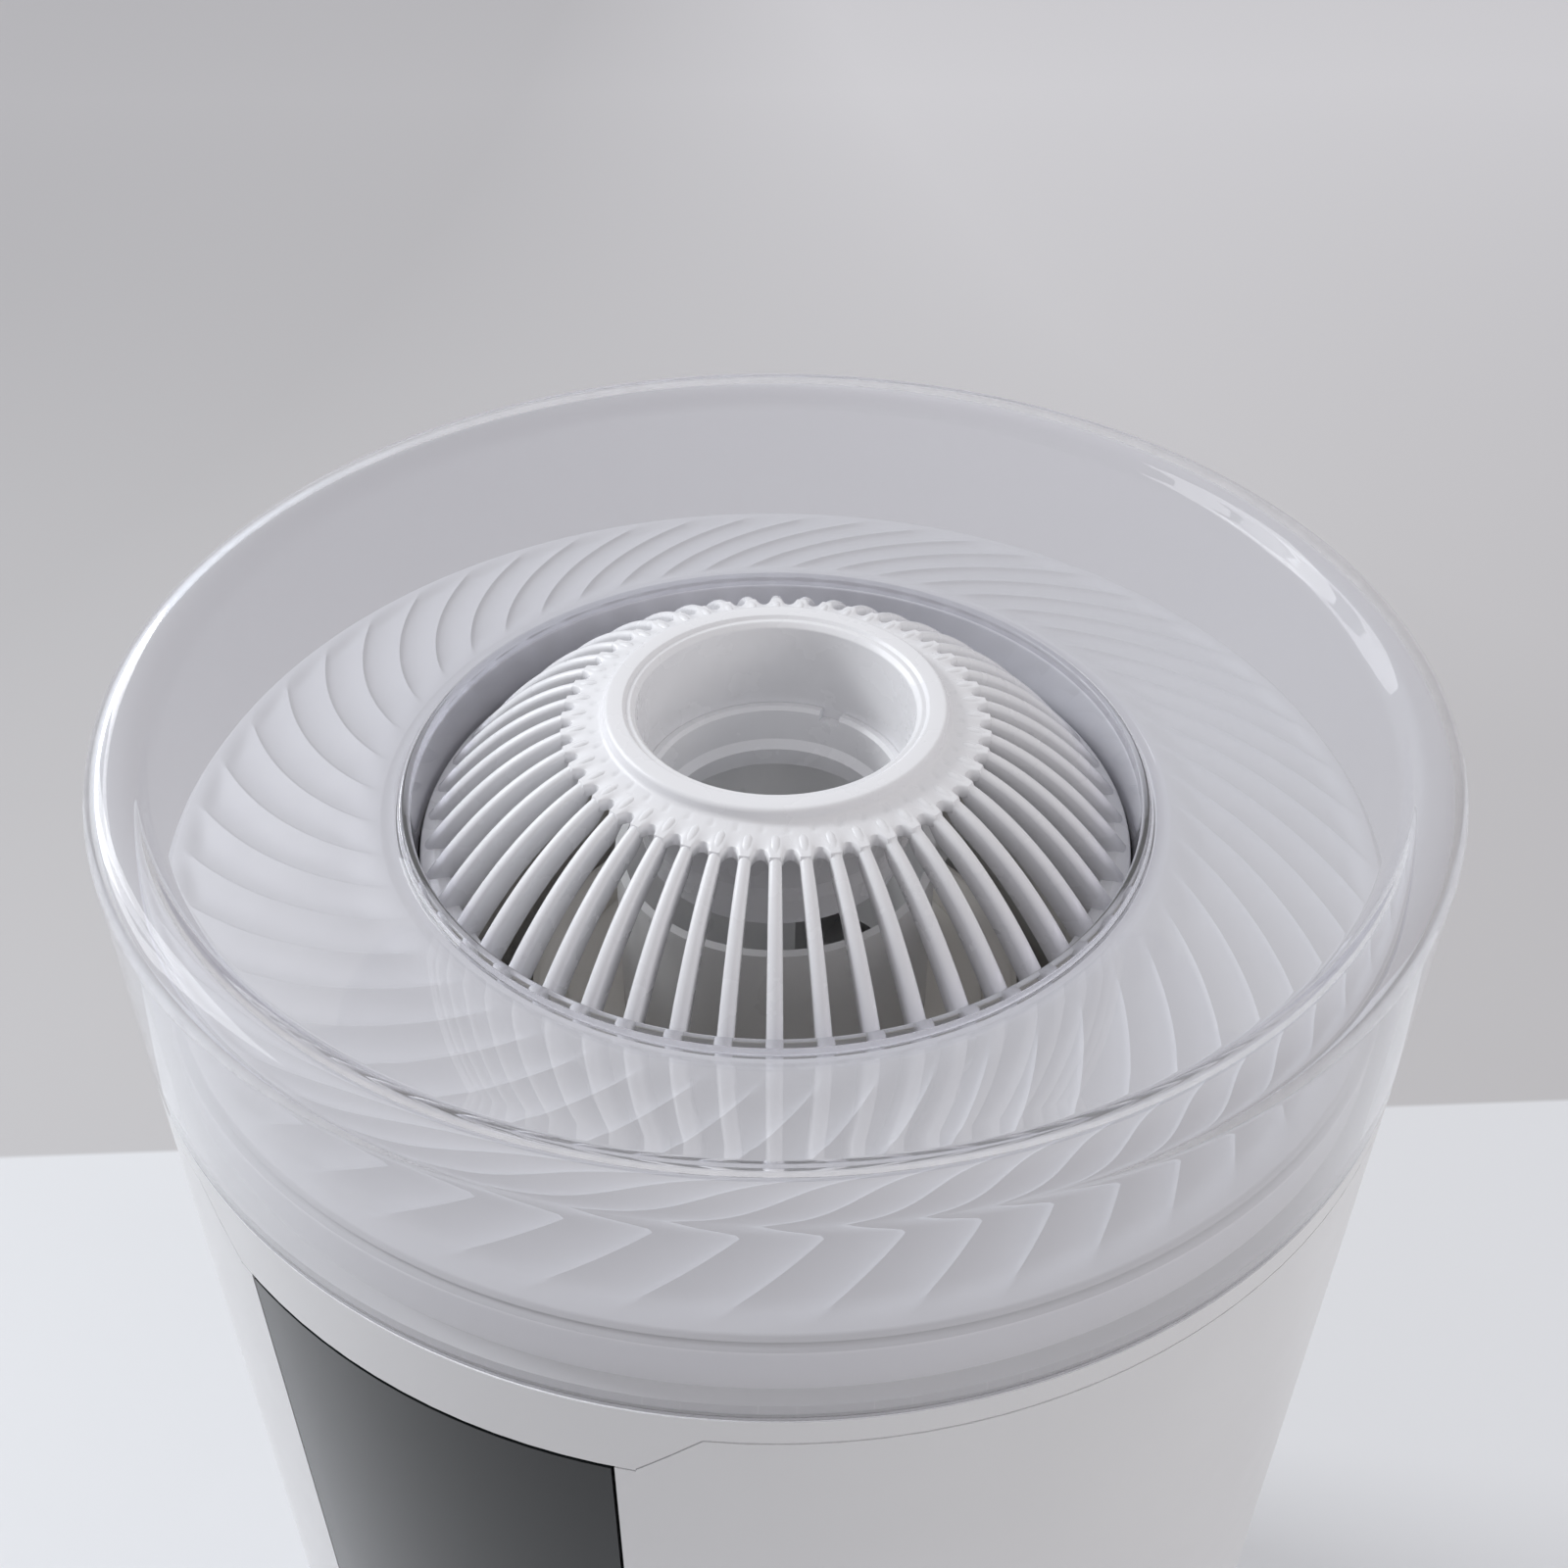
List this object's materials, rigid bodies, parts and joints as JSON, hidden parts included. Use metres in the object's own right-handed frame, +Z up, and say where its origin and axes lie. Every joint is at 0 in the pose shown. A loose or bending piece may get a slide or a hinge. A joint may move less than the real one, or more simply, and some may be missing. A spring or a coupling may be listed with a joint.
{
  "type": "air purifier",
  "caption": "Round free-standing air purifier with a clear top-fill ring, swirl plate, domed slotted outlet, water tank, fan, pleated filter and smoked glass front panel.",
  "frame": {"origin": "centre of the circle through the four feet, on the surface that the purifier stands on", "axes": "+Z up; the glass panel faces -Y and the filter door +Y"},
  "size_m": [0.34, 0.34, 0.6],
  "materials": {
    "white_shell": "satin white moulding with a fine grain",
    "white_gloss": "gloss white moulding",
    "white_plate": "semi-gloss white moulding",
    "clear_plastic": "polished clear moulding",
    "smoked_glass": "polished dark glass",
    "black_plastic": "fine matt",
    "grey_plastic": "fine matt",
    "tank_plastic": "satin",
    "fan_plastic": "satin",
    "foot_rubber": "matt",
    "silicone": "soft matt",
    "circuit_board": "solder mask",
    "light_segment": "diffused",
    "steel": "plated",
    "motor_can": "satin",
    "brass": "plain",
    "lead_sheath": "matt",
    "filter_paper": "pleated",
    "filter_mesh": "fine net",
    "filter_core_plastic": "matt",
    "foam": "closed cell",
    "magnet": "nickel plated"
  },
  "bodies": {
    "base": {"base_pan": "grey_plastic", "rubber_feet": "foot_rubber", "outer_shell": "white_shell", "front_panel": "smoked_glass", "panel_frame": "black_plastic", "display_board": "circuit_board", "display_lights": "light_segment", "control_board": "circuit_board", "power_supply": "black_plastic", "mains_inlet": "black_plastic", "filter_tray": "grey_plastic", "fan_deck": "grey_plastic", "fan_housing": "grey_plastic", "housing_brackets": "white_shell", "fan_guard": "black_plastic", "motor": "motor_can", "motor_bushes": "brass", "motor_cover": "grey_plastic", "tank_deck": "grey_plastic", "deck_rim": "grey_plastic", "deck_contacts": "black_plastic", "level_sensor": "circuit_board", "dust_sensor": "black_plastic", "motor_lead": "lead_sheath", "supply_lead": "lead_sheath", "catch_plates": "steel", "tray_screws": "steel", "housing_screws": "steel"},
    "fan": {"shaft": "steel", "impeller": "fan_plastic", "impeller_nut": "steel"},
    "door": {"rear_door": "white_shell", "door_magnets": "magnet"},
    "filter": {"filter_media": "filter_paper", "filter_core": "filter_core_plastic", "filter_bottom_cap": "grey_plastic", "filter_top_cap": "grey_plastic", "filter_seal": "foam", "pre_filter": "filter_mesh", "filter_tab": "filter_mesh"},
    "tank": {"water_tank": "tank_plastic", "tank_floor": "tank_plastic", "tank_duct": "tank_plastic", "mist_cup": "white_plate", "upper_band": "white_shell", "air_deflector": "tank_plastic", "mist_disc": "steel", "mist_seal": "silicone", "tank_contacts": "brass", "float_clip": "tank_plastic", "tank_handles": "tank_plastic"},
    "float": {"float_body": "foam", "float_magnet": "magnet"},
    "ring": {"top_ring": "clear_plastic", "swirl_plate": "white_plate", "ring_seal": "silicone"},
    "grille": {"dome_grille": "white_gloss", "centre_tube": "white_gloss"}
  },
  "joints": [
    {"name": "fan_spin", "type": "hinge", "parent": "base", "child": "fan", "pos_m": [0, 0, 0.33], "axis": [0, 0, 1], "continuous": true},
    {"name": "door_pull", "type": "slide", "parent": "base", "child": "door", "axis": [0, 1, 0], "range_m": [0, 0.12]},
    {"name": "filter_pull", "type": "slide", "parent": "base", "child": "filter", "axis": [0, 1, 0], "range_m": [0, 0.12]},
    {"name": "tank_lift", "type": "slide", "parent": "base", "child": "tank", "axis": [0, 0, 1], "range_m": [0, 0.16]},
    {"name": "float_rise", "type": "slide", "parent": "tank", "child": "float", "axis": [0, 0, 1], "range_m": [0, 0.04]},
    {"name": "ring_lift", "type": "slide", "parent": "tank", "child": "ring", "axis": [0, 0, 1], "range_m": [0, 0.12]},
    {"name": "grille_lift", "type": "slide", "parent": "tank", "child": "grille", "axis": [0, 0, 1], "range_m": [0, 0.06]}
  ],
  "couplings": [
    {"joint": "filter_pull", "follows": "door_pull", "ratio": 1}
  ]
}
